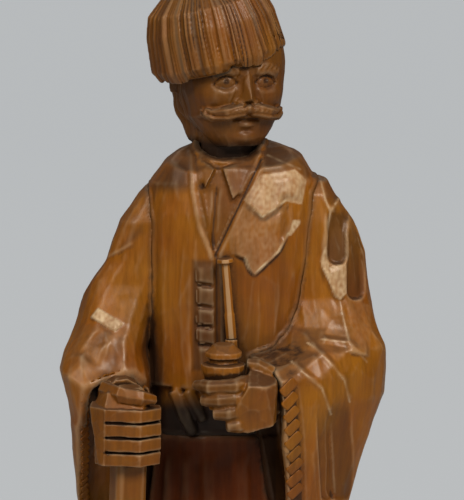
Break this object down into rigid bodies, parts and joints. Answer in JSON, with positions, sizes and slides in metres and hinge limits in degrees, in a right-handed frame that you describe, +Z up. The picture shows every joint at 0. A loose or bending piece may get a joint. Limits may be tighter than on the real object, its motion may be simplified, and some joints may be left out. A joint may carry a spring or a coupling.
{
  "type": "carved wooden figure",
  "caption": "Carved limewood folk figure of a man in a shaggy cap and wide-sleeved shirt, holding a lidded pipe and leaning on a lift-out stick, on a bevelled plinth.",
  "frame": {"origin": "centre of the plinth's underside", "axes": "+Z up, the figure faces -Y, its right hand with the stick is on the -X side"},
  "size_m": [0.1058, 0.0758, 0.3043],
  "materials": {
    "carved_limewood": "honey-brown stain under semi-gloss varnish, knife-cut facets",
    "stick_wood": "honey-brown stain under semi-gloss varnish",
    "plinth_wood": "dark stain, satin varnish",
    "dowel_beech": "plain, glued in",
    "screw_steel": "bright"
  },
  "bodies": {
    "figure": {"base": "plinth_wood", "left_boot": "carved_limewood", "right_boot": "carved_limewood", "trousers": "carved_limewood", "torso": "carved_limewood", "left_sleeve": "carved_limewood", "right_sleeve": "carved_limewood", "left_hand": "carved_limewood", "right_hand": "carved_limewood", "head": "carved_limewood", "cap": "carved_limewood", "pipe_bowl": "carved_limewood", "pipe_stem": "stick_wood", "neck_dowel": "dowel_beech", "cap_dowel": "dowel_beech", "left_shoulder_dowel_1": "dowel_beech", "left_shoulder_dowel_2": "dowel_beech", "right_shoulder_dowel_1": "dowel_beech", "right_shoulder_dowel_2": "dowel_beech", "left_wrist_dowel": "dowel_beech", "right_wrist_dowel": "dowel_beech", "left_waist_dowel": "dowel_beech", "right_waist_dowel": "dowel_beech", "left_leg_dowel": "dowel_beech", "right_leg_dowel": "dowel_beech", "left_base_screw": "screw_steel", "right_base_screw": "screw_steel"},
    "stick": {"walking_stick": "stick_wood"}
  },
  "joints": [
    {"name": "stick_lift", "type": "slide", "parent": "figure", "child": "stick", "axis": [0.0349, 0, 0.9994], "range_m": [0, 0.166]}
  ]
}
